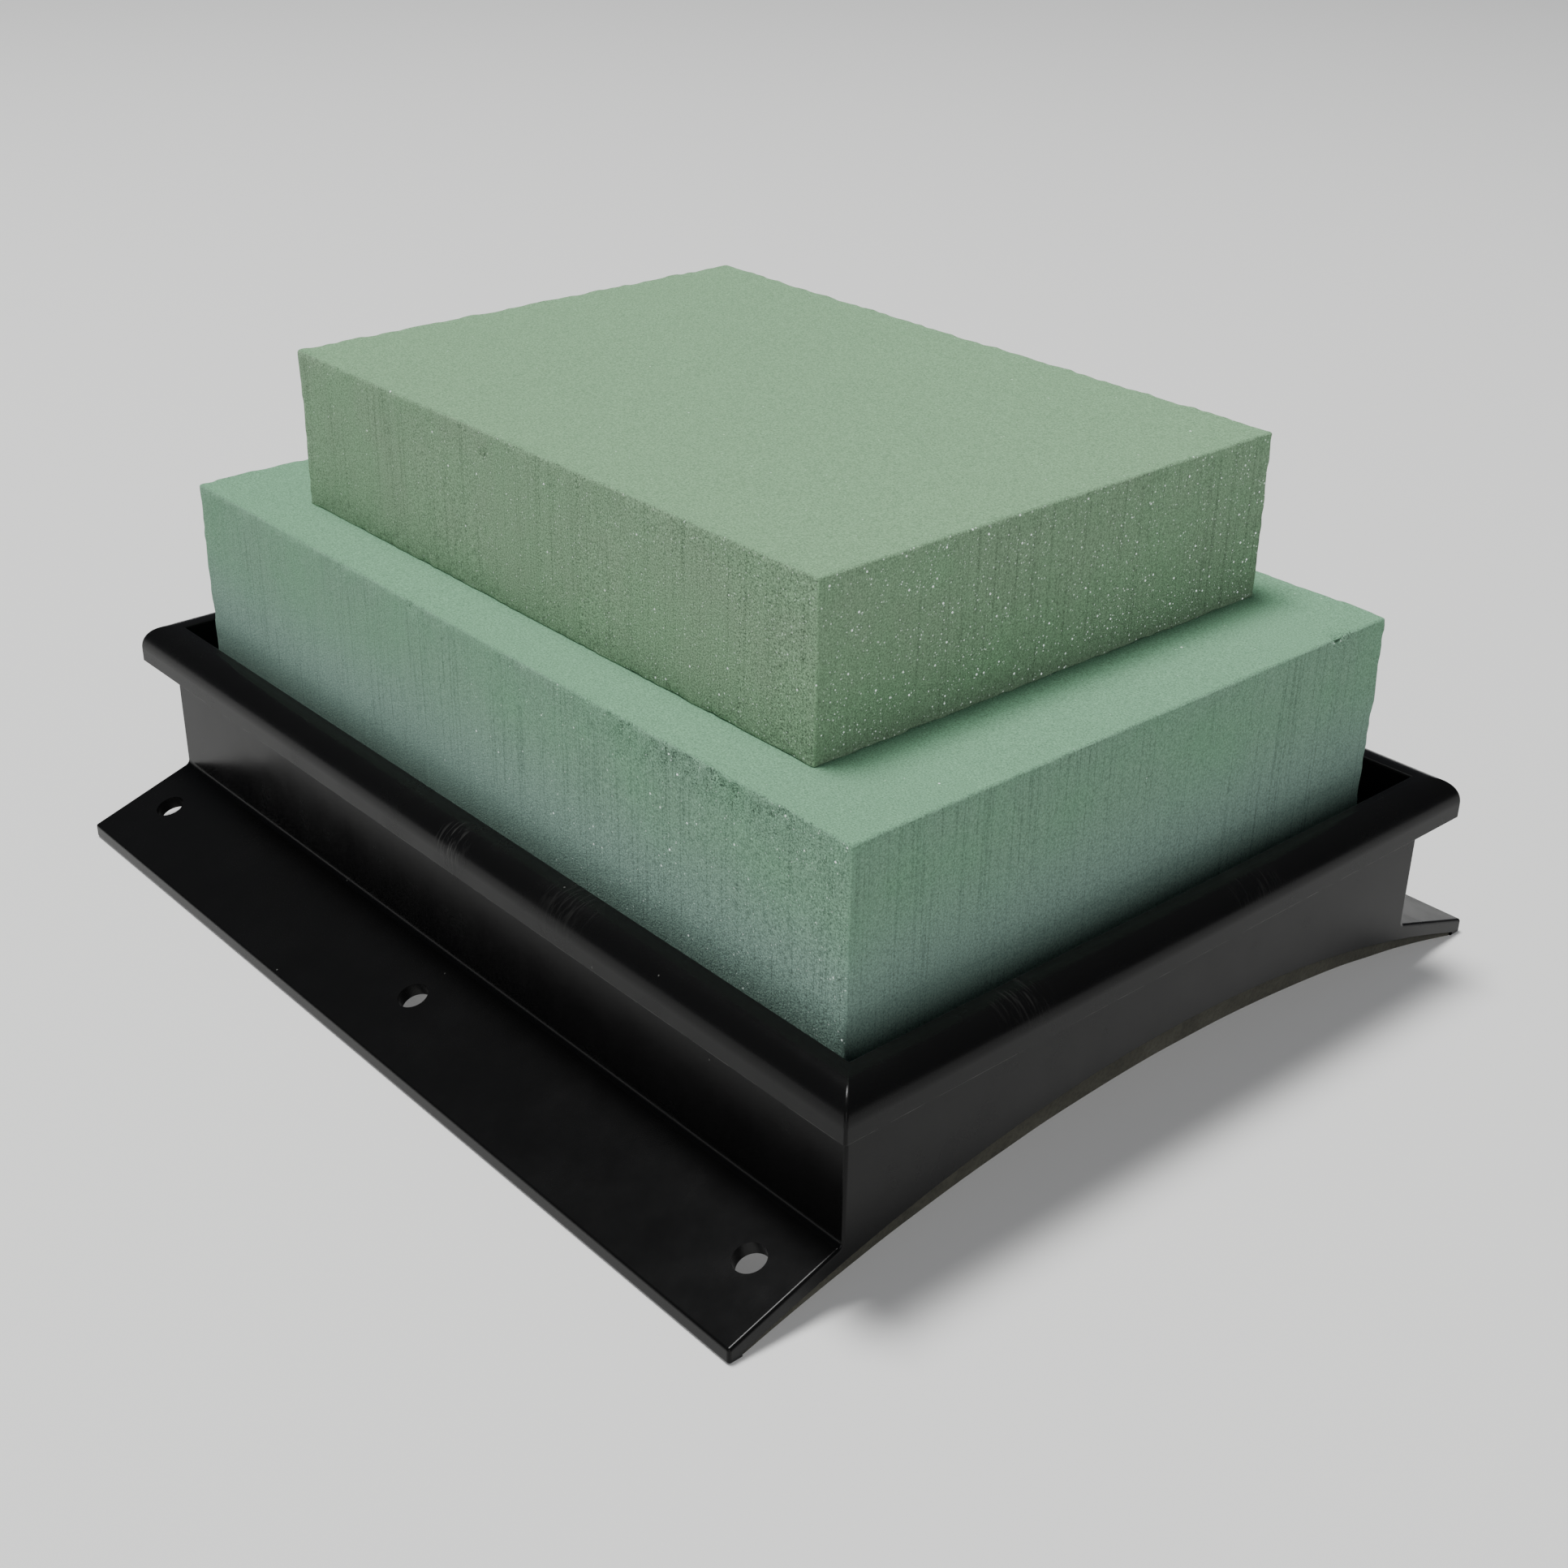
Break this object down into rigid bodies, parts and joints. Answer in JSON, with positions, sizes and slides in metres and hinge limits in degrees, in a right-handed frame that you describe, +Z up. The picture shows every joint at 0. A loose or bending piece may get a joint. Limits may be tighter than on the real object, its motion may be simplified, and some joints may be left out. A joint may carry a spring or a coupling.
{
  "type": "floral foam casket saddle",
  "caption": "Arched plastic saddle tray with pierced side wings and a stepped stack of floral foam blocks, for a flower arrangement laid over a coffin lid.",
  "frame": {"origin": "on the resting plane, under the middle of the tray", "axes": "+X along the wings and the blocks' long sides, +Y across them from the front wing to the back wing, +Z up"},
  "size_m": [0.3376, 0.293, 0.1618],
  "materials": {
    "tray_plastic": "satin",
    "pad_foam": "matte",
    "adhesive_film": "satin",
    "hot_glue": "gloss",
    "lower_foam": "matte",
    "upper_foam": "matte"
  },
  "bodies": {
    "root": {"saddle_tray": "tray_plastic", "saddle_pad": "pad_foam", "pad_adhesive_sheet": "adhesive_film", "tray_glue_beads": "hot_glue", "lower_foam_block": "lower_foam", "block_glue_beads": "hot_glue", "upper_foam_block": "upper_foam"}
  },
  "joints": []
}
